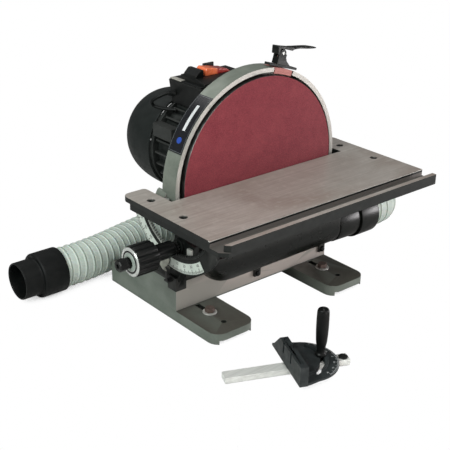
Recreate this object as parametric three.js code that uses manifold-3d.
// Bench-top 12-inch disc sander with a tilting cast-iron table, disc brake, dust chute
// with hose, and a mitre gauge lying on the bench.
// Millimetres, +Z up, X to the right as the operator faces the disc, +Y back towards the
// motor. The abrasive face is the plane y = 0 and the disc axis runs along Y. At the end
// the whole group is moved so that its box is centred over the origin and stands on z = 0.
import * as THREE from 'three';
import { mergeVertices } from 'three/addons/utils/BufferGeometryUtils.js';
import Module from 'manifold-3d';

const wasm = await Module();
wasm.setup();

// ---------------------------------------------------------------- shared dimensions
// A pair named ..._AXIS, or a place of a hole, holds the two coordinates across its axis.
const GAP = 0.3;               // running gap between separate pieces
const SIDES = [-1, 1];         // left, right
const ORIGIN = [0, 0];

const DISC_R = 152.4;
const DISC_Z = 217;            // height of the motor axis above the bench
const MOTOR_AXIS = [0, DISC_Z];
const MOTOR_R = 70;

const GUARD_Z = 215;
const GUARD_AXIS = [0, GUARD_Z];
const GUARD_RO = 166;
const GUARD_RI = 159;
const GUARD_Y0 = 5;            // front rim
const GUARD_Y1 = 37.5;         // back face
const GUARD_WALL = 4.5;        // back wall thickness
const SPLIT_Z = 197;           // joint between guard and base housing
const EAR_X = 177;             // outer end of the bolting ears at the joint
const EAR_T = 6;
const EAR_BOLT = [171.5, 20];  // x, y
const BRAKE_ANGLE = 16.5;      // degrees the brake sits right of top dead centre

const BASE_X = 165;            // half width
const BASE_Y0 = 6.5;
const BASE_Y1 = 186;
const FOOT_TOP = 18.2;
const FOOT_BOLT = [125, -28];  // x, y
const CHUTE_SCREW_X = [2.5, 153.7];
const CHUTE_SCREW_Z = 34.5;

const TABLE_TOP = 212;
const TABLE_T = 8;
const TABLE_NOTCH_Y = -3;      // table edge facing the disc
const PIVOT_Y = TABLE_NOTCH_Y; // the tilt axis runs along that edge
const PIVOT_Z = TABLE_TOP;
const PIVOT_AXIS = [PIVOT_Y, PIVOT_Z];
const QUADRANT_X0 = 167.5;     // inner and outer faces of both trunnion plates, from x = 0
const QUADRANT_X1 = 172.5;

const GEAR_MODULE = 1.4;
const PINION_TEETH = 12;
const PINION_R = (PINION_TEETH * GEAR_MODULE) / 2;
const RACK_R = 86.5;           // pitch radius of the internal tilt rack
const MESH_ANGLE = -87.2;      // direction from the tilt axis to the pinion
const PINION_AXIS = polar(PIVOT_AXIS, RACK_R - PINION_R, MESH_ANGLE);

// ---------------------------------------------------------------- materials
const finish = (options) => new THREE.MeshStandardMaterial(options);
const MATERIALS = {
  casting: finish({ color: 0x8a9285, roughness: 0.45, metalness: 0.1 }),
  iron: finish({ color: 0x6d645f, roughness: 0.4, metalness: 0.7 }),
  black: finish({ color: 0x17191a, roughness: 0.45 }),
  motor: finish({ color: 0x1d2120, roughness: 0.5 }),
  cowl: finish({ color: 0x2a2f2e, roughness: 0.5 }),
  abrasive: finish({ color: 0x8a3640, roughness: 0.95 }),
  steel: finish({ color: 0xb8bab8, roughness: 0.3, metalness: 0.9 }),
  zinc: finish({ color: 0x8f9290, roughness: 0.35, metalness: 0.9 }),
  orange: finish({ color: 0xc73a1e, roughness: 0.4 }),
  hose: finish({ color: 0xb4c0b4, roughness: 0.55 }),
  rubber: finish({ color: 0x101112, roughness: 0.8 }),
  scale: finish({ color: 0xc8d0c8, roughness: 0.4 }),
  shoe: finish({ color: 0xb8685c, roughness: 0.8 }),
  copper: finish({ color: 0x9a5a2c, roughness: 0.4, metalness: 0.7 }),
  laminations: finish({ color: 0x55585a, roughness: 0.5, metalness: 0.8 }),
  aluminium: finish({ color: 0xa9adab, roughness: 0.35, metalness: 0.8 }),
  decal: finish({ color: 0x0d0e10, roughness: 0.3 }),
};

// ---------------------------------------------------------------- solids and meshes
function toSolid(geometry, flip = false) {
  const bare = geometry.clone();
  for (const name of Object.keys(bare.attributes)) {
    if (name !== 'position') bare.deleteAttribute(name);
  }
  const merged = mergeVertices(bare, 1e-4);
  const index = merged.index.array;
  const triangles = [];
  for (let i = 0; i < index.length; i += 3) {
    const [a, b, c] = [index[i], index[i + 1], index[i + 2]];
    const degenerate = a === b || b === c || a === c;
    if (!degenerate) triangles.push(...(flip ? [b, a, c] : [a, b, c]));
  }
  return new wasm.Manifold(new wasm.Mesh({
    numProp: 3,
    vertProperties: new Float32Array(merged.attributes.position.array),
    triVerts: new Uint32Array(triangles),
  }));
}

function toGeometry(solid) {
  const mesh = solid.getMesh();
  const geometry = new THREE.BufferGeometry();
  const positions = new Float32Array(mesh.vertProperties);
  geometry.setAttribute('position', new THREE.BufferAttribute(positions, 3));
  geometry.setIndex(new THREE.BufferAttribute(new Uint32Array(mesh.triVerts), 1));
  geometry.computeVertexNormals();
  return geometry;
}

const machine = new THREE.Group();

function place(name, solid, material, parent = machine) {
  const mesh = new THREE.Mesh(toGeometry(solid), material);
  mesh.name = name;
  parent.add(mesh);
}

function subgroup(x, y, z) {
  const child = new THREE.Group();
  child.position.set(x, y, z);
  machine.add(child);
  return child;
}

const join = (first, ...others) => others.reduce((sum, solid) => sum.add(solid), first);
const cut = (body, ...tools) => tools.reduce((rest, tool) => rest.subtract(tool), body);

// ---------------------------------------------------------------- outlines
function rad(degrees) {
  return (degrees * Math.PI) / 180;
}

function polar([u, v], radius, degrees) {
  return [u + radius * Math.cos(rad(degrees)), v + radius * Math.sin(rad(degrees))];
}

function arc(centre, radius, from, to, steps) {
  return Array.from({ length: steps + 1 }, (_, i) => (
    polar(centre, radius, from + ((to - from) * i) / steps)));
}

function sector(centre, inner, outer, from, to, steps) {
  return [...arc(centre, outer, from, to, steps), ...arc(centre, inner, to, from, steps)];
}

const circle = (centre, radius, steps) => arc(centre, radius, 0, 360, steps).slice(0, steps);

function shapeOf(outline, holes = []) {
  const vectors = (points) => points.map(([u, v]) => new THREE.Vector2(u, v));
  const shape = new THREE.Shape(vectors(outline));
  for (const hole of holes) shape.holes.push(new THREE.Path(vectors(hole)));
  return shape;
}

// ---------------------------------------------------------------- basic bodies
function box(x0, x1, y0, y1, z0, z1) {
  const geometry = new THREE.BoxGeometry(x1 - x0, y1 - y0, z1 - z0);
  geometry.translate((x0 + x1) / 2, (y0 + y1) / 2, (z0 + z1) / 2);
  return toSolid(geometry);
}

// box from near to far off the plane x = 0, on the given side of it
function sideBox(side, near, far, ...yzRange) {
  return side > 0 ? box(near, far, ...yzRange) : box(-far, -near, ...yzRange);
}

// flat blade of [length, depth, thickness] turned about an axis parallel to Y
function blade(size, radius, y, degrees, axisZ = 0) {
  const geometry = new THREE.BoxGeometry(...size);
  geometry.translate(radius, y, 0);
  geometry.rotateY(rad(degrees));
  geometry.translate(0, 0, axisZ);
  return toSolid(geometry);
}

// turn a geometry built along +Y so that it runs along the named axis, through the
// centre given in the other two axes in x, y, z order
function alignTo(axis, geometry, [u, v]) {
  if (axis === 'x') geometry.rotateZ(-Math.PI / 2).translate(0, u, v);
  if (axis === 'y') geometry.translate(u, 0, v);
  if (axis === 'z') geometry.rotateX(Math.PI / 2).translate(u, v, 0);
  return geometry;
}

function cylinder(axis, from, to, centre, radius, segments, endRadius = radius) {
  const geometry = new THREE.CylinderGeometry(endRadius, radius, to - from, segments);
  geometry.translate(0, (from + to) / 2, 0);
  return toSolid(alignTo(axis, geometry, centre));
}

// body of revolution; the profile is a loop of [radius, height along the axis]
function turned(axis, profile, segments, centre = ORIGIN) {
  const loop = profile.map(([radius, height]) => new THREE.Vector2(radius, height));
  const endsOnAxis = profile[0][0] === 0 && profile[profile.length - 1][0] === 0;
  if (!endsOnAxis) loop.push(loop[0].clone());
  const geometry = alignTo(axis, new THREE.LatheGeometry(loop, segments), centre);
  const solid = toSolid(geometry);
  return solid.volume() < 0 ? toSolid(geometry, true) : solid;
}

function sleeve(axis, inner, outer, from, to, segments, centre) {
  const profile = [[inner, from], [outer, from], [outer, to], [inner, to]];
  return turned(axis, profile, segments, centre);
}

// prism drawn in a plane and extruded: 'xy' along z, 'yz' along x, 'xz' along y
function prism(plane, outline, from, to) {
  const geometry = new THREE.ExtrudeGeometry(
    shapeOf(outline), { depth: to - from, bevelEnabled: false },
  );
  geometry.translate(0, 0, from);
  const x = new THREE.Vector3(1, 0, 0);
  const y = new THREE.Vector3(0, 1, 0);
  const z = new THREE.Vector3(0, 0, 1);
  const basis = new THREE.Matrix4();
  if (plane === 'yz') basis.makeBasis(y, z, x);
  if (plane === 'xz') basis.makeBasis(x, z, y);
  geometry.applyMatrix4(basis);
  return toSolid(geometry, plane === 'xz');   // the 'xz' mapping mirrors, so faces are flipped
}

// round bar, or tube if it has an inner radius, along a curve through points
function tube(points, outer, inner, steps, segments) {
  const vectors = points.map((point) => new THREE.Vector3(...point));
  const extrudePath = new THREE.CatmullRomCurve3(vectors, false, 'centripetal');
  const bore = inner > 0 ? [circle(ORIGIN, inner, segments)] : [];
  const shape = shapeOf(circle(ORIGIN, outer, segments), bore);
  return toSolid(new THREE.ExtrudeGeometry(shape, { steps, extrudePath, bevelEnabled: false }));
}

function hexHead(centre, z0, z1, acrossFlats) {
  return prism('xy', circle(centre, acrossFlats / Math.sqrt(3), 6), z0, z1);
}

// ================================================================ BASE AND GUARD
// ring and back wall shared by the guard and the lower half of the disc housing
function housingPart(inner, from, to, steps) {
  const ring = sector(GUARD_AXIS, inner, GUARD_RO, from, to, steps);
  const wall = arc(GUARD_AXIS, GUARD_RO - 1, from, to, steps);
  return join(
    prism('xz', ring, GUARD_Y0, GUARD_Y1),
    prism('xz', wall, GUARD_Y1 - GUARD_WALL, GUARD_Y1),
  );
}

// round opening in the back wall around the motor axis
const wallOpening = () => cylinder('y', 20, 50, MOTOR_AXIS, 32, 32);

// the left ears reach further back than the right ones
const earBack = (side) => (side > 0 ? GUARD_Y1 : 50);

const earBolt = (side) => [side * EAR_BOLT[0], EAR_BOLT[1]];

// open box with rounded front corners
function foot(side) {
  const front = -93;
  const corner = 20;
  const nearX = 84.6;
  const wall = 5;
  const x0 = side > 0 ? nearX : -BASE_X;
  const x1 = side > 0 ? BASE_X : -nearX;
  const plan = (inset, rear) => [
    ...arc([x0 + corner, front + corner], corner - inset, 180, 270, 5),
    ...arc([x1 - corner, front + corner], corner - inset, 270, 360, 5),
    [x1 - inset, rear], [x0 + inset, rear],
  ];
  const boltX = side * FOOT_BOLT[0];
  const boltY = FOOT_BOLT[1];
  return cut(
    prism('xy', plan(0, 34), 0, FOOT_TOP),
    prism('xy', plan(wall, 37), -1, FOOT_TOP - 6),
    box(x0 + 9, x1 - 7, front - 1, front + 12, -1, 6.5),
    cylinder('z', 5, 25, [boltX, boltY], 5.5, 16),
    cylinder('z', 5, 25, [side * 126, -63.5], 4.5, 16),
    box(boltX - 4.5, boltX + 4.5, boltY, 4, 14.5, 25),
  );
}

// box under the motor with a sloping deck, open underneath, with two feet in front and
// the lower half of the disc housing standing on it
function baseCasting() {
  const sideWall = 7;
  const endWall = 6;
  const y0 = BASE_Y0;
  const y1 = BASE_Y1;
  const innerX = BASE_X - sideWall;
  const outside = [[y0, 0], [y1, 0], [y1, 36], [64, 66], [y0, 66]];
  const inside = [
    [y0 + endWall, -1], [y1 - endWall, -1], [y1 - endWall, 30], [63, 60], [y0 + endWall, 60],
  ];
  let base = cut(
    prism('yz', outside, -BASE_X, BASE_X),
    prism('yz', inside, -innerX, innerX),
    box(-innerX, innerX, y0 - 1, y0 + 7, -1, 16.7),
    box(-120, 120, y1 - 7, y1 + 1, -1, 12),
  );
  base = cut(
    join(base, housingPart(GUARD_RI - 8, -177, -3, 44)),
    cylinder('y', 0, GUARD_Y1 - GUARD_WALL, GUARD_AXIS, GUARD_RI, 72),
    wallOpening(),
    box(-190, 190, -5, 60, SPLIT_Z - GAP, 260),
  );
  const earTop = SPLIT_Z - GAP;
  for (const side of SIDES) {
    const ear = sideBox(side, GUARD_RI + 1, EAR_X, 12, earBack(side), earTop - EAR_T, earTop);
    base = cut(join(base, ear), cylinder('z', 180, 210, earBolt(side), 3.3, 12));
    base = join(base, foot(side));
    // seat for the tilt bracket block on the front corner
    base = cut(base, sideBox(side, 144.7, 190, -5, 27.3, 52.7, 80));
  }
  for (const x of CHUTE_SCREW_X) {
    base = cut(base, cylinder('y', 0, 20, [x, CHUTE_SCREW_Z], 3, 12));
  }
  return base;
}

function discGuard() {
  let guard = cut(
    housingPart(GUARD_RI, -7, 187, 46),
    wallOpening(),
    box(-190, 190, -5, 60, 150, SPLIT_Z),
  );
  // x (as a distance from the middle), z of the gusset above each ear
  const gusset = [[163, 202], [177, 202], [170, 205.5], [166.5, 212], [163, 214]];
  for (const side of SIDES) {
    const back = earBack(side);
    guard = join(
      guard,
      sideBox(side, GUARD_RI, EAR_X, 12, back, SPLIT_Z, SPLIT_Z + EAR_T),
      prism('xz', gusset.map(([x, z]) => [side * x, z]), 28, back),
    );
    guard = cut(guard, cylinder('z', 190, 216, earBolt(side), 3.3, 12));
  }
  // window for the brake shoe
  const middle = 90 - BRAKE_ANGLE;
  const window = sector(GUARD_AXIS, 158, 172, middle - 7, middle + 7.9, 6);
  return cut(guard, prism('xz', window, GUARD_Y0 - 1, GUARD_Y1 - GUARD_WALL - 0.5));
}

function guardScrew(side) {
  const headZ = SPLIT_Z + EAR_T + 0.2;
  return join(
    cylinder('z', SPLIT_Z - 8, SPLIT_Z + EAR_T + GAP, earBolt(side), 2.9, 12),
    hexHead(earBolt(side), headZ, headZ + 3.3, 8.6),
  );
}

// plain badge wrapped on the left shoulder of the guard
function guardBadge() {
  const outline = sector(GUARD_AXIS, GUARD_RO + 0.25, GUARD_RO + 1, 125, 158.5, 10);
  return prism('xz', outline, 5.5, 37);
}

place('base_casting', baseCasting(), MATERIALS.casting);
place('disc_guard', discGuard(), MATERIALS.casting);
place('guard_screw_left', guardScrew(-1), MATERIALS.zinc);
place('guard_screw_right', guardScrew(1), MATERIALS.zinc);
place('guard_badge', guardBadge(), MATERIALS.decal);

// ================================================================ MOTOR
const MOTOR_PAD_TOP = 290.5;   // flat pad that carries the switch
const COWL_Y = 190;            // where the dome of the fan cowl starts

// front end bell with its bearing seat; radius, y
const FRONT_BELL_PROFILE = [
  [20.4, 38], [MOTOR_R - 2, 38], [MOTOR_R - 2, 56], [MOTOR_R - 8, 56],
  [MOTOR_R - 8, 50], [27, 50], [27, 55], [20.4, 55],
];

// radius, y
const REAR_BELL_PROFILE = [
  [16.4, 178.6], [81.7, 178.6], [81.7, 186], [70, 186], [60, 190], [16.4, 190],
];

// finned tube with a pad on top and a block on the left
function motorHousing() {
  let body = sleeve('y', MOTOR_R - 5, MOTOR_R, 57, 178, 30, MOTOR_AXIS);
  for (let angle = 0; angle < 360; angle += 15) {
    const underPad = angle > 60 && angle < 120;
    if (underPad) continue;
    body = join(body, blade([11, 114, 3.2], MOTOR_R + 4, 117.5, -angle, DISC_Z));
  }
  body = join(
    body,
    box(-34, 34, 62, 174, 278, MOTOR_PAD_TOP),
    box(-82, -66, 126, 176, 246, 268),
  );
  return cut(body, sleeve('y', 0, MOTOR_R - 5, 50, 190, 30, MOTOR_AXIS));
}

function motorRearBell() {
  let bell = turned('y', REAR_BELL_PROFILE, 30, MOTOR_AXIS);
  for (let i = 0; i < 6; i++) {
    const hole = polar(MOTOR_AXIS, 45, 60 * i + 30);
    bell = cut(bell, cylinder('y', 170, 200, hole, 9, 10));
  }
  return bell;
}

// domed cup over the rear of the motor, with radial slots at the back
function fanCowl() {
  const radius = 85;
  const innerRadius = 82.2;
  const depth = 105;
  const innerDepth = 101.8;
  const rimY = 184;
  // superellipse quarter, without its last point on the axis
  const dome = (r, d) => Array.from({ length: 12 }, (_, i) => {
    const angle = rad((i * 90) / 12);
    return [r * Math.cos(angle) ** (2 / 3), COWL_Y + d * Math.sin(angle) ** (2 / 3)];
  });
  let cowl = turned('y', [
    [radius, rimY], ...dome(radius, depth), [0, COWL_Y + depth],
    [0, COWL_Y + innerDepth], ...dome(innerRadius, innerDepth).reverse(), [innerRadius, rimY],
  ], 30, MOTOR_AXIS);
  // slot corners: distance out along the slot, offset across it
  const slot = [[26, -4.2], [54, -4.2], [54, 4.2], [26, 4.2]];
  for (let i = 0; i < 8; i++) {
    const cos = Math.cos(rad(45 * i));
    const sin = Math.sin(rad(45 * i));
    const outline = slot.map(([r, o]) => [r * cos - o * sin, DISC_Z + r * sin + o * cos]);
    cowl = cut(cowl, prism('xz', outline, 265, 300));
  }
  return cowl;
}

const statorR = MOTOR_R - 5.4;
const frontBell = turned('y', FRONT_BELL_PROFILE, 30, MOTOR_AXIS);
place('motor_front_bell', frontBell, MATERIALS.motor);
place('motor_housing', motorHousing(), MATERIALS.motor);
place('motor_rear_bell', motorRearBell(), MATERIALS.motor);
place('stator', sleeve('y', 38.5, statorR, 72, 158, 36, MOTOR_AXIS), MATERIALS.copper);
place('front_bearing', sleeve('y', 9.8, 20, 40, 52, 28, MOTOR_AXIS), MATERIALS.steel);
place('rear_bearing', sleeve('y', 9.8, 16, 179, 188, 28, MOTOR_AXIS), MATERIALS.steel);
place('fan_cowl', fanCowl(), MATERIALS.cowl);

// ================================================================ SWITCH
const BRACKET_TOP = 294;
const SWITCH_BOX_TOP = 336;
const SWITCH_PLATE_TOP = 338.3;

// hollow box, wider at the top
function switchBox() {
  const z0 = BRACKET_TOP + GAP;
  const top = SWITCH_BOX_TOP;
  return cut(
    prism('xz', [[-41, z0], [61, z0], [64, top], [-48, top]], 94, 178),
    box(-36, 56, 100, 172, 290, 330),
  );
}

// recessed surround of the paddle, with a raised ear on the left and a tab at the back
function switchHousing() {
  const z0 = SWITCH_PLATE_TOP + GAP;
  return cut(
    join(
      prism('yz', [[97, z0], [158, z0], [158, 346], [116, 346], [97, 341.5]], -38, 56),
      prism('xz', [[-38, 345], [-38, 350], [-29, 358.5], [-23, 358.5], [-22, 345]], 118, 150),
      box(8, 30, 156.5, 160, z0, 356),
    ),
    box(-13.5, 43.5, 124.5, 151.5, 339.4, 348),
  );
}

// cord looping from the left of the switch box down to the motor; x, y, z
const CORD_PATH = [
  [-49.4, 166, 314], [-57, 168, 315], [-69, 177, 309], [-75, 187, 300],
  [-71, 189, 292], [-60, 178, 287], [-50, 166, 286.5],
];

const switchBracket = box(-32, 50, 70, 170, MOTOR_PAD_TOP + GAP, BRACKET_TOP);
const switchPlate = box(-46, 62, 96, 176, SWITCH_BOX_TOP + GAP, SWITCH_PLATE_TOP);
place('switch_bracket', switchBracket, MATERIALS.black);
place('switch_box', switchBox(), MATERIALS.black);
place('switch_plate', switchPlate, MATERIALS.aluminium);
place('switch_housing', switchHousing(), MATERIALS.black);
place('motor_cord', tube(CORD_PATH, 2.8, 0, 18, 8), MATERIALS.rubber);

// ================================================================ DISC BRAKE
// local frame: x along the tangent of the guard, z along its radius
const LEVER_PIN = [-6, 188];
const leverPinHole = () => cylinder('y', 0, 40, LEVER_PIN, 2.9, 14);

const BRAKE_COLUMN = [[-14, 170.3], [15, 170.3], [5, 177], [2, 182], [2, 187], [-14, 187]];

// x, z round the lever's cap and long tapering handle
const LEVER_SIDE = [
  [-20, 195.6], [-17.6, 184.8], [-14.4, 184.8], [-14.4, 194.5], [8, 194.5], [10, 194.6],
  [21, 197.4], [34, 200.4], [52, 203.6], [66.5, 205.8], [67.2, 207.2], [52, 207.6],
  [40, 206.2], [22, 203], [-4, 198.6], [-20, 197.2],
];

// x, y of what is taken off the front and back of the handle
const HANDLE_FRONT_CUT = [[22, 8], [22, 8.5], [36, 10.5], [68, 12.4], [68, 8]];
const HANDLE_BACK_CUT = [[68, 24], [68, 19.6], [36, 21.5], [22, 23.5], [22, 24]];

// post with two cheeks that hold the lever pin
function brakeColumn() {
  const cheek = [...arc(LEVER_PIN, 6, 0, 180, 8), [-12, 184], [0, 184]];
  return cut(
    join(prism('xz', BRAKE_COLUMN, 9.5, 22.5), prism('xz', cheek, 9.5, 22.5)),
    box(-14.5, 3, 12.9, 19.1, 181.5, 200),
    box(-10.5, 0.5, 13, 19, 165, 185),
    leverPinHole(),
  );
}

function brakeLever() {
  const head = [...arc(LEVER_PIN, 5.2, 180, 360, 8), [-0.8, 195.4], [-11.2, 195.4]];
  const handle = cut(
    prism('xz', LEVER_SIDE, 8.5, 23.5),
    prism('xy', HANDLE_FRONT_CUT, 180, 215),
    prism('xy', HANDLE_BACK_CUT, 180, 215),
  );
  return cut(join(prism('xz', head, 13.4, 18.6), handle), leverPinHole());
}

// block in the window of the guard, with its stem
function brakeShoe() {
  const block = sector([0, DISC_Z - GUARD_Z], 154.3, 163.7, 90 - 6.2, 90 + 7.1, 6);
  return join(prism('xz', block, 4.6, 31.5), box(-9.5, -0.5, 13.6, 18.4, 163, 182.4));
}

const brake = subgroup(0, 0, GUARD_Z);
brake.rotation.y = rad(BRAKE_ANGLE);
const brakePlate = cut(box(-28.5, 30.5, 9, 23, 166.3, 170), box(-11, 1, 12.5, 19.5, 160, 175));
place('brake_base_plate', brakePlate, MATERIALS.black, brake);
place('brake_column', brakeColumn(), MATERIALS.black, brake);
place('brake_lever_pin', cylinder('y', 8.9, 23.1, LEVER_PIN, 2.6, 14), MATERIALS.zinc, brake);
place('brake_lever', brakeLever(), MATERIALS.black, brake);
place('brake_shoe', brakeShoe(), MATERIALS.shoe, brake);

// ================================================================ ROTATING DISC
// local frame: origin on the motor axis, in the plane of the abrasive face
const BORE_R = 9.7;            // bore of everything on the shaft
const SET_SCREW = [24, 0];     // y, z

const SHAFT_PROFILE = [[0, 9], [9.4, 9], [9.4, 204], [6, 206], [0, 206]];   // radius, y

// aluminium plate with a thicker rim and a hub behind it; radius, y
const PLATE_PROFILE = [
  [0, 1.3], [DISC_R, 1.3], [DISC_R, 12], [DISC_R - 12, 12], [DISC_R - 15, 9],
  [24, 9], [24, 31], [BORE_R, 31], [BORE_R, 8.4], [0, 8.4],
];

// hub and web of the fan; radius, y
const FAN_PROFILE = [
  [BORE_R, 193], [17, 193], [17, 198], [68, 198],
  [68, 200.5], [17, 200.5], [17, 202.5], [BORE_R, 202.5],
];

function discPlate() {
  return cut(turned('y', PLATE_PROFILE, 64), cylinder('x', 9, 40, SET_SCREW, 2.8, 10));
}

function coolingFan() {
  let fan = turned('y', FAN_PROFILE, 32);
  for (let i = 0; i < 8; i++) fan = join(fan, blade([44, 22, 2.4], 44, 211, 45 * i));
  return fan;
}

const disc = subgroup(0, 0, DISC_Z);
place('motor_shaft', turned('y', SHAFT_PROFILE, 24), MATERIALS.steel, disc);
place('disc_plate', discPlate(), MATERIALS.aluminium, disc);
place('disc_set_screw', cylinder('x', 10, 23, SET_SCREW, 2.4, 10), MATERIALS.black, disc);
place('abrasive_disc', sleeve('y', 0, DISC_R, 0, 1.1, 64), MATERIALS.abrasive, disc);
place('rotor', sleeve('y', BORE_R, 37.6, 73, 157, 32), MATERIALS.laminations, disc);
place('cooling_fan', coolingFan(), MATERIALS.black, disc);

// ================================================================ TABLE
// the pieces are drawn in the machine's frame and moved into the tilting group
const TABLE_X = 221.8;         // half width
const TABLE_REAR = 64;
const NOTCH_X = 179.5;         // half width of the notch round the disc
const SLOT_BACK = -143.5;      // mitre slot
const SLOT_FRONT = -163.9;
const SLOT_FLOOR = 202;
const LIP_FRONT = SLOT_FRONT - 8;
const SKIRT_Z = 188;
const TABLE_UNDER = TABLE_TOP - TABLE_T;
const TRUNNION_RI = 90.7;      // the toothed rack sits inside this radius
const TRUNNION_RO = 115.8;
const TRUNNION_FRONT = -97;

const table = subgroup(0, PIVOT_Y, PIVOT_Z);
function placeOnTable(name, solid, material) {
  place(name, solid.translate([0, -PIVOT_Y, -PIVOT_Z]), material, table);
}

function skirtsAndRibs() {
  const plateIn = TABLE_TOP - 2;      // runs up into the plate
  const barIn = TABLE_TOP - 12;       // runs up into the front bar
  const sideParts = (side) => [
    sideBox(side, 206, 213, -141, 55, SKIRT_Z, plateIn),
    sideBox(side, 206, 213, -146, -140, SKIRT_Z, barIn),
    sideBox(side, 184, 213, 49, 56, SKIRT_Z, plateIn),
    sideBox(side, 183, 188, -30, 55, SKIRT_Z + 4, plateIn),
  ];
  return [
    ...SIDES.flatMap(sideParts),
    box(-210, 210, -33, -27.5, SKIRT_Z + 4, plateIn),
    box(-210, 210, -88, -83, SKIRT_Z + 4, plateIn),
    box(-213, 213, -150, -143, SKIRT_Z, barIn),
  ];
}

function tableTop() {
  const corner = 12;
  const tip = 6;               // rounding beside the notch
  const rear = TABLE_REAR;
  const front = [[-TABLE_X, LIP_FRONT + 10], [-TABLE_X + 10, LIP_FRONT], [TABLE_X, LIP_FRONT]];
  const outline = [
    ...front,
    ...arc([TABLE_X - corner, rear - corner], corner, 0, 90, 5),
    ...arc([NOTCH_X + tip, rear - tip], tip, 90, 180, 3),
    [NOTCH_X, TABLE_NOTCH_Y], [-NOTCH_X, TABLE_NOTCH_Y],
    ...arc([-NOTCH_X - tip, rear - tip], tip, 0, 90, 3),
    ...arc([-TABLE_X + corner, rear - corner], corner, 90, 180, 5),
  ];
  // bar under the mitre slot
  const bar = [...front, [TABLE_X, SLOT_BACK + 8], [-TABLE_X, SLOT_BACK + 8]];
  // left end of the lip, cut back to the slot floor
  const lipEnd = [
    [-TABLE_X - 2, SLOT_FRONT + 1], [-TABLE_X + 7, SLOT_FRONT + 1],
    [-TABLE_X + 9, SLOT_FRONT - 3], [-TABLE_X + 15, LIP_FRONT - 1],
    [-TABLE_X - 2, LIP_FRONT - 1],
  ];
  let top = cut(
    join(prism('xy', outline, TABLE_UNDER, TABLE_TOP), prism('xy', bar, 195.5, TABLE_TOP - 1)),
    box(-TABLE_X - 5, TABLE_X + 5, SLOT_FRONT, SLOT_BACK, SLOT_FLOOR, TABLE_TOP + 1),
    prism('xy', lipEnd, SLOT_FLOOR, TABLE_TOP + 1),
  );
  top = join(top, ...skirtsAndRibs());
  // room for the trunnion plates between the ribs
  for (const side of SIDES) {
    top = cut(top, sideBox(side, 166, 174, -140, 0, SKIRT_Z - 2, TABLE_UNDER));
  }
  // bevel under the notch edge so it stays near the disc when the table tilts
  const bevel = [
    [TABLE_NOTCH_Y - 0.5, TABLE_TOP - 1], [TABLE_NOTCH_Y - 22, SKIRT_Z - 4.5],
    [TABLE_NOTCH_Y + 3, SKIRT_Z - 4.5], [TABLE_NOTCH_Y + 3, TABLE_TOP - 1],
  ];
  top = cut(top, prism('yz', bevel, -NOTCH_X, NOTCH_X));
  // countersunk holes
  for (const x of [-200, 200]) {
    for (const y of [19.7, -57.9]) {
      top = cut(
        top,
        cylinder('z', 180, 220, [x, y], 4.6, 18),
        cylinder('z', TABLE_TOP - 4, TABLE_TOP + 1, [x, y], 4.6, 18, 7.1),
      );
    }
  }
  return top;
}

const atPivot = (radius, degrees) => polar(PIVOT_AXIS, radius, degrees);
const HANG_Z = TABLE_UNDER - GAP;     // top of both trunnion plates

// quadrant plate with a web at the front that rises to the table
function trunnionLeft() {
  const quadrant = sector(PIVOT_AXIS, TRUNNION_RI, TRUNNION_RO, -149, -27, 32);
  const web = [
    [TRUNNION_FRONT, HANG_Z], [TRUNNION_FRONT, 188], [TRUNNION_FRONT + 3, 168],
    [TRUNNION_FRONT + 0.5, 160], atPivot(TRUNNION_RO, -149), atPivot(TRUNNION_RO, -140),
    atPivot(93, -143.2), atPivot(52, -143.2), [PIVOT_Y - 3, PIVOT_Z - 15],
    [PIVOT_Y - 3, HANG_Z],
  ];
  return join(
    prism('yz', quadrant, -QUADRANT_X1, -QUADRANT_X0),
    prism('yz', web, -QUADRANT_X1, -QUADRANT_X0),
  );
}

// shorter slotted quadrant, clear of the dust pipe
function trunnionRight() {
  const web = [
    [PIVOT_Y - 3, HANG_Z], [PIVOT_Y - 66, HANG_Z], atPivot(66, -160), atPivot(52, -148),
    [PIVOT_Y - 20, PIVOT_Z - 22],
  ];
  return cut(
    join(
      prism('yz', sector(PIVOT_AXIS, 50, 68, -165, -40, 18), QUADRANT_X0, QUADRANT_X1),
      prism('yz', web, QUADRANT_X0, QUADRANT_X1),
    ),
    prism('yz', sector(PIVOT_AXIS, 56, 62, -140, -70, 12), 160, 180),
  );
}

// internal rack: its teeth point to the tilt axis
function tiltRack() {
  const pitch = (GEAR_MODULE / RACK_R) * 180;       // degrees per tooth
  const from = -140;
  const to = -38;
  const tipR = RACK_R - 1.25;
  const rootR = RACK_R + 1.75;
  const tipHalf = pitch * 0.5 * 0.74;               // half widths of a tooth space
  const rootHalf = pitch * 0.5 * 0.44;
  const spaces = Math.floor((to - from) / pitch);
  // one tooth space is centred on the line from the tilt axis to the pinion
  const firstSpace = MESH_ANGLE - Math.round((MESH_ANGLE - from) / pitch) * pitch;
  const teeth = [];
  for (let i = 0; i < spaces; i++) {
    const centre = firstSpace + i * pitch;
    teeth.push(
      [tipR, centre - tipHalf], [rootR, centre - rootHalf],
      [rootR, centre + rootHalf], [tipR, centre + tipHalf],
    );
  }
  const first = teeth[0][1] - 1;
  const last = teeth[teeth.length - 1][1] + 1;
  const outline = [
    ...teeth.map(([radius, angle]) => atPivot(radius, angle)),
    ...arc(PIVOT_AXIS, TRUNNION_RI - GAP, last, first, 34),
  ];
  return prism('yz', outline, -QUADRANT_X1, -QUADRANT_X0);
}

function tiltScale() {
  const outline = sector(PIVOT_AXIS, 97, 113.5, -127.5, -29, 20);
  return prism('yz', outline, -QUADRANT_X1 - 0.9, -QUADRANT_X1 - GAP);
}

placeOnTable('table_top', tableTop(), MATERIALS.iron);
placeOnTable('tilt_trunnion_left', trunnionLeft(), MATERIALS.black);
placeOnTable('tilt_trunnion_right', trunnionRight(), MATERIALS.black);
placeOnTable('tilt_rack', tiltRack(), MATERIALS.zinc);
placeOnTable('tilt_scale', tiltScale(), MATERIALS.scale);

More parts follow.
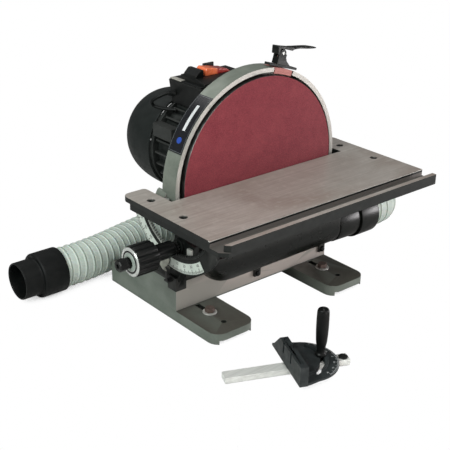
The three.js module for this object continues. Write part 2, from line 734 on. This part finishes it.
// ================================================================ TILT BRACKETS
const BRACKET_BOLT = [-28, 135];       // y, z
const GUIDE_STUD = [PIVOT_Y, 153];     // y, z

// y, z
const BRACKET_LEFT_SIDE = [
  [4, 70], [27, 70], [24, 110], [12, 149], [-8, 150],
  [-18, 144], [-36, 144], [-36, 126], [-18, 120], [-6, 96],
];
const BRACKET_RIGHT_SIDE = [
  [17, 70], [46, 70], [40, 130], [16, 160], [-8, 162], [-10, 145], [6, 142], [17, 134],
];
const POINTER_SIDE = [
  [14, 71], [18, 71], [19, 86], [27, 90], [34, 96], [31, 101], [22, 105], [12, 116],
  [8, 113], [11, 104], [17, 97], [20, 95], [15, 88],
];

function bracketLeft() {
  return cut(
    join(
      box(-166, -145, 6, 27, 53, 76),
      box(-166, -150, 20, 64, 66.3, 74),
      prism('yz', BRACKET_LEFT_SIDE, -162, -154),
      cylinder('x', -166, -161, PINION_AXIS, 12, 24),
    ),
    cylinder('x', -180, -140, PINION_AXIS, 5.4, 18),
    cylinder('x', -180, -140, BRACKET_BOLT, 3.3, 14),
  );
}

function bracketRight() {
  return cut(
    join(
      box(145, 166, 6, 27, 53, 62),
      box(145, 166, 16.5, 27, 60, 76),
      box(150, 166, 20, 64, 66.3, 74),
      prism('yz', BRACKET_RIGHT_SIDE, 162, 166),
    ),
    cylinder('x', 140, 190, GUIDE_STUD, 2.9, 14),
  );
}

function bracketBolt() {
  return join(
    cylinder('x', -163, -152, BRACKET_BOLT, 3, 12),
    box(-167, -162.2, -33, -23, 122, 139.5),
  );
}

function guideStud() {
  return join(
    cylinder('x', 160, 174, GUIDE_STUD, 2.6, 14),
    cylinder('x', 173, 178, GUIDE_STUD, 5.5, 6),
  );
}

// foot on the left corner block, finger beside the scale
function tiltPointer() {
  const foot = box(-176.6, -166.3, 12, 22, 70, 73);
  return join(foot, prism('yz', POINTER_SIDE, -176.6, -175.2));
}

place('tilt_bracket_left', bracketLeft(), MATERIALS.black);
place('tilt_bracket_right', bracketRight(), MATERIALS.black);
place('bracket_bolt_left', bracketBolt(), MATERIALS.scale);
place('guide_stud_right', guideStud(), MATERIALS.zinc);
place('tilt_pointer', tiltPointer(), MATERIALS.zinc);

// ================================================================ TILT KNOB
// local frame: origin on the pinion axis
// x is machine x; radius, x of the ring in the outer end of the grip
const KNOB_RING_PROFILE = [
  [11, -253.8], [21.2, -253.8], [22.6, -252.4], [22.6, -252.2],
  [21.2, -252.2], [21.2, -249.3], [11, -249.3],
];

const LOCK_NUT_OUTLINE = [
  [-9, -4.5], [-4.5, -9], [4.5, -9], [9, -4.5], [9, 4.5], [4.5, 9], [-4.5, 9], [-9, 4.5],
];

function pinionShaft() {
  const step = 360 / PINION_TEETH;
  const rootR = PINION_R - 1.6;
  const tipR = PINION_R + 1.15;
  // radius, angle from the tooth centre as a fraction of the tooth step
  const tooth = [
    [rootR, -0.33], [PINION_R, -0.205], [tipR, -0.1],
    [tipR, 0.1], [PINION_R, 0.205], [rootR, 0.33],
  ];
  const outline = [];
  for (let i = 0; i < PINION_TEETH; i++) {
    const centre = MESH_ANGLE + i * step;
    outline.push(...tooth.map(([r, part]) => polar(ORIGIN, r, centre + step * part)));
  }
  return join(cylinder('x', -256, -153.5, ORIGIN, 5, 18), prism('yz', outline, -171.8, -168.2));
}

// fluted circle, four points to a flute
function fluted(radius, depth, flutes) {
  const count = flutes * 4;
  return Array.from({ length: count }, (_, i) => {
    const onRidge = i % 4 === 0 || i % 4 === 3;
    return polar(ORIGIN, onRidge ? radius : radius - depth, (i / count) * 360);
  });
}

function knobGrip() {
  return cut(
    join(
      prism('yz', fluted(24, 1.8, 14), -252, -214),
      prism('yz', fluted(13, 1.1, 10), -214.5, -176),
    ),
    cylinder('x', -260, -170, ORIGIN, 5.3, 18),
    cylinder('x', -253, -249, ORIGIN, 21.5, 32),
  );
}

function lockNut() {
  const head = prism('yz', LOCK_NUT_OUTLINE, -275, -262);
  return join(head, cylinder('x', -262.5, -257, ORIGIN, 8.5, 20));
}

const knob = subgroup(0, ...PINION_AXIS);
place('tilt_pinion_shaft', pinionShaft(), MATERIALS.steel, knob);
place('tilt_knob_grip', knobGrip(), MATERIALS.black, knob);
place('tilt_knob_ring', turned('x', KNOB_RING_PROFILE, 36), MATERIALS.steel, knob);
const lock = subgroup(0, ...PINION_AXIS);
place('tilt_lock_nut', lockNut(), MATERIALS.black, lock);

// ================================================================ DUST CHUTE AND HOSE
const CHUTE_Y = -22;
const CHUTE_Z = 100.6;
const CHUTE_AXIS = [CHUTE_Y, CHUTE_Z];
const CHUTE_R = 34;
const CHUTE_WALL = 3;
const HOSE_RO = 34.5;
const HOSE_RI = 31.4;

// x, z of what is cut off the lower left end of the trough, outside and inside
const TROUGH_END_OUTER = [
  [-148, 55], [-90, 55], [-90, 66.6], [-102, 67.6], [-113, 70.8], [-122, 75.6],
  [-130, 82.4], [-136, 91], [-140.5, 102], [-142.6, 114], [-148, 114],
];
const TROUGH_END_INNER = [
  [-148, 55], [-90, 55], [-90, 69.6], [-101, 70.7], [-111.6, 73.8], [-120, 78.3],
  [-127.4, 84.6], [-133, 92.6], [-137.4, 103], [-139.5, 114.5], [-148, 116],
];

// round pipe at the right with its groove and hose collar; radius, x
const PIPE_PROFILE = [
  [28, 161.5], [CHUTE_R + 1, 161.5], [36.4, 165.5], [36.4, 178.6], [34.6, 179], [34.6, 182],
  [39.5, 182.6], [39.5, 224.5], [38, 226], [HOSE_RI - 1.8, 226], [HOSE_RI - 1.8, 234],
  [28, 234],
];

// y, z of the screw tabs
const CHUTE_TAB_SIDE = [
  [-14, 70], [-6, 74], [-3.2, 73], [-3.2, 60], [3.8, 49.5],
  [6.2, 46], [6.2, 29], [2.4, 29], [2.4, 46], [-8, 60],
];

// from the pipe round behind the machine and out on the left; x, y, z
const HOSE_PATH = [
  [226.4, CHUTE_Y, CHUTE_Z], [244, CHUTE_Y, CHUTE_Z], [264, -18, CHUTE_Z - 1],
  [296, 14, 88], [314, 70, 62], [312, 140, 42], [276, 205, 36], [200, 245, 35],
  [100, 255, 35], [0, 253, 35], [-85, 240, 35], [-155, 224, 36], [-205, 216, 37.2],
  [-230, 215, 37.6], [-263, 215, 37.6],
];

// radius, x
const ADAPTER_PROFILE = [
  [35.1, -288], [35.1, -251], [37.5, -251], [37.5, -293], [36.3, -295],
  [31, -295], [31, -327], [27.8, -327], [27.8, -291],
];

// trough with a rounded left end, open above and towards the disc
function trough() {
  const innerR = CHUTE_R - CHUTE_WALL;
  const outer = [
    [-3, 72.5], ...arc(CHUTE_AXIS, CHUTE_R, -60, -180, 10),
    [CHUTE_Y - CHUTE_R, CHUTE_Z + 22], [-3, CHUTE_Z + 22],
  ];
  const inner = [
    [0, 76], ...arc(CHUTE_AXIS, innerR, -60, -180, 10),
    [CHUTE_Y - innerR, CHUTE_Z + 30], [0, CHUTE_Z + 30],
  ];
  const hollow = cut(prism('yz', inner, -140, 162), prism('xz', TROUGH_END_INNER, -60, 2));
  return cut(prism('yz', outer, -143, 166), prism('xz', TROUGH_END_OUTER, -60, 0), hollow);
}

function dustChute() {
  // thicker right-hand end of the trough
  const thickEnd = [
    ...arc(CHUTE_AXIS, CHUTE_R + 1.4, -75, -180, 10),
    ...arc(CHUTE_AXIS, CHUTE_R - 1, -180, -75, 10),
  ];
  let chute = cut(
    join(trough(), prism('yz', thickEnd, 134, 166), turned('x', PIPE_PROFILE, 28, CHUTE_AXIS)),
    cylinder('x', 150, 290, CHUTE_AXIS, 28.4, 28),
  );
  for (const x of CHUTE_SCREW_X) {
    const tab = prism('yz', CHUTE_TAB_SIDE, x - 6.5, x + 6.5);
    chute = join(chute, cut(tab, cylinder('y', 0, 10, [x, CHUTE_SCREW_Z], 3, 12)));
  }
  return chute;
}

function chuteScrew(x) {
  const centre = [x, CHUTE_SCREW_Z];
  return join(cylinder('y', -1.5, 2, centre, 5.2, 16), cylinder('y', 1.9, 16, centre, 2.7, 12));
}

place('dust_chute', dustChute(), MATERIALS.black);
place('chute_screw_left', chuteScrew(CHUTE_SCREW_X[0]), MATERIALS.black);
place('chute_screw_right', chuteScrew(CHUTE_SCREW_X[1]), MATERIALS.black);
place('dust_hose', tube(HOSE_PATH, HOSE_RO, HOSE_RI, 34, 14), MATERIALS.hose);
place('hose_adapter', turned('x', ADAPTER_PROFILE, 28, [215, 37.6]), MATERIALS.rubber);

// ================================================================ FOOT BOLTS
for (const [sideName, side] of [['left', -1], ['right', 1]]) {
  const centre = [side * FOOT_BOLT[0], FOOT_BOLT[1]];
  const washer = sleeve('z', 5.6, 11.5, FOOT_TOP + 0.1, FOOT_TOP + 2.1, 24, centre);
  const bolt = join(
    hexHead(centre, FOOT_TOP + 2.2, FOOT_TOP + 8.8, 14),
    cylinder('z', 1, FOOT_TOP + 2.3, centre, 4.8, 16),
  );
  place(`foot_washer_${sideName}`, washer, MATERIALS.steel);
  place(`foot_bolt_${sideName}`, bolt, MATERIALS.zinc);
}

// ================================================================ SWITCH PADDLE
// x, z from the rocking axis
const PADDLE_SIDE = [
  [-27, -1.6], [-27, 8.6], [-23.5, 11.5], [18, 4.5], [27, -1.2], [3, -3.6], [-3, -3.6],
];
const rocker = subgroup(15, 138, 346);
place('switch_paddle', prism('xz', PADDLE_SIDE, -12, 12), MATERIALS.orange, rocker);

// ================================================================ MITRE GAUGE
// local frame: x along the bar, the fence faces -x
const BAR_W = 18.8;
const BAR_T = 9.4;
const HEAD_Z = BAR_T + GAP;
const GAUGE_PIVOT = [12, 0];
const GAUGE_CLAMP = [54, 0];   // in the middle of the arc slot
const GAUGE_STOP = [90, 0];

const STOP_SCREW_PROFILE = [   // radius, z
  [0, BAR_T + 0.1], [7.5, BAR_T + 0.1], [7, BAR_T + 2], [3.6, BAR_T + 3.4], [0, BAR_T + 3.6],
];

// radius, height above the underside of the head
const GRIP_PROFILE = [
  [0, 9.3], [8.5, 9.3], [8.5, 13], [6.2, 16], [6.2, 22], [8.2, 32],
  [9.2, 50], [9.2, 72], [8.9, 83], [7.6, 86.5], [0, 86.5],
];

function gaugeBar() {
  return cut(
    box(-93, 98, -BAR_W / 2, BAR_W / 2, 0, BAR_T),
    cylinder('z', -1, 12, GAUGE_STOP, 2.8, 12),
    cylinder('z', 3, 12, GAUGE_CLAMP, 3.4, 12),
    cylinder('z', 3, 12, GAUGE_PIVOT, 3.4, 12),
  );
}

// half-round plate with a raised middle, an arc slot and a tall fence cut away at one end
function gaugeHead() {
  const z0 = HEAD_Z;
  const plate = [...arc([28, 0], 51.5, -84, 84, 20), [16, 56], [0, 58.5], [0, -58.5], [16, -57]];
  const fence = [[-58.5, z0], [58.5, z0], [27, z0 + 31], [-58.5, z0 + 31]];
  const middle = [...arc([26, 0], 38, -90, 90, 14), [8, 40], [8, -40]];
  return cut(
    join(
      prism('xy', plate, z0, z0 + 3.6),
      prism('yz', fence, 0, 12.5),
      prism('xy', middle, z0 + 3, z0 + 9),
    ),
    box(-1, 2.5, -22, -17, z0 + 15, z0 + 40),
    box(-1, 2.5, 8, 13, z0 + 15, z0 + 40),
    prism('xy', sector(GAUGE_PIVOT, 38.5, 45.5, -60, 60, 14), z0 - 1, z0 + 40),
    cylinder('z', 0, 40, GAUGE_PIVOT, 3.6, 14),
    cylinder('z', z0 + 12, 50, GAUGE_PIVOT, 6.5, 14),
    cylinder('z', z0 + 20, z0 + 40, [6.5, -45], 2.4, 10),
    cylinder('z', z0 + 20, z0 + 40, [6.5, 22], 2.4, 10),
  );
}

function stopScrew() {
  const head = turned('z', STOP_SCREW_PROFILE, 16, GAUGE_STOP);
  return join(head, cylinder('z', 1, BAR_T + 0.2, GAUGE_STOP, 2.5, 12));
}

// stud into the bar through the arc slot, with collar and slender grip
function clampHandle() {
  const grip = GRIP_PROFILE.map(([radius, height]) => [radius, HEAD_Z + height]);
  return join(sleeve('z', 0, 3, 3.2, 24, 14, GAUGE_CLAMP), turned('z', grip, 16, GAUGE_CLAMP));
}

const gauge = subgroup(-128, -204, 0);
gauge.rotation.z = rad(-23.5);
const pivotPin = cylinder('z', 3.2, BAR_T + 15, GAUGE_PIVOT, 3.1, 14);
place('gauge_bar', gaugeBar(), MATERIALS.steel, gauge);
place('gauge_stop_screw', stopScrew(), MATERIALS.black, gauge);
place('gauge_pivot_pin', pivotPin, MATERIALS.steel, gauge);
place('gauge_head', gaugeHead(), MATERIALS.black, gauge);
place('gauge_clamp_handle', clampHandle(), MATERIALS.black, gauge);

// centre the box of the whole object over the origin
machine.updateMatrixWorld(true);
const bounds = new THREE.Box3().setFromObject(machine, true);
const centre = bounds.getCenter(new THREE.Vector3());
machine.position.set(-centre.x, -centre.y, -bounds.min.z);
machine.updateMatrixWorld(true);

export default machine;
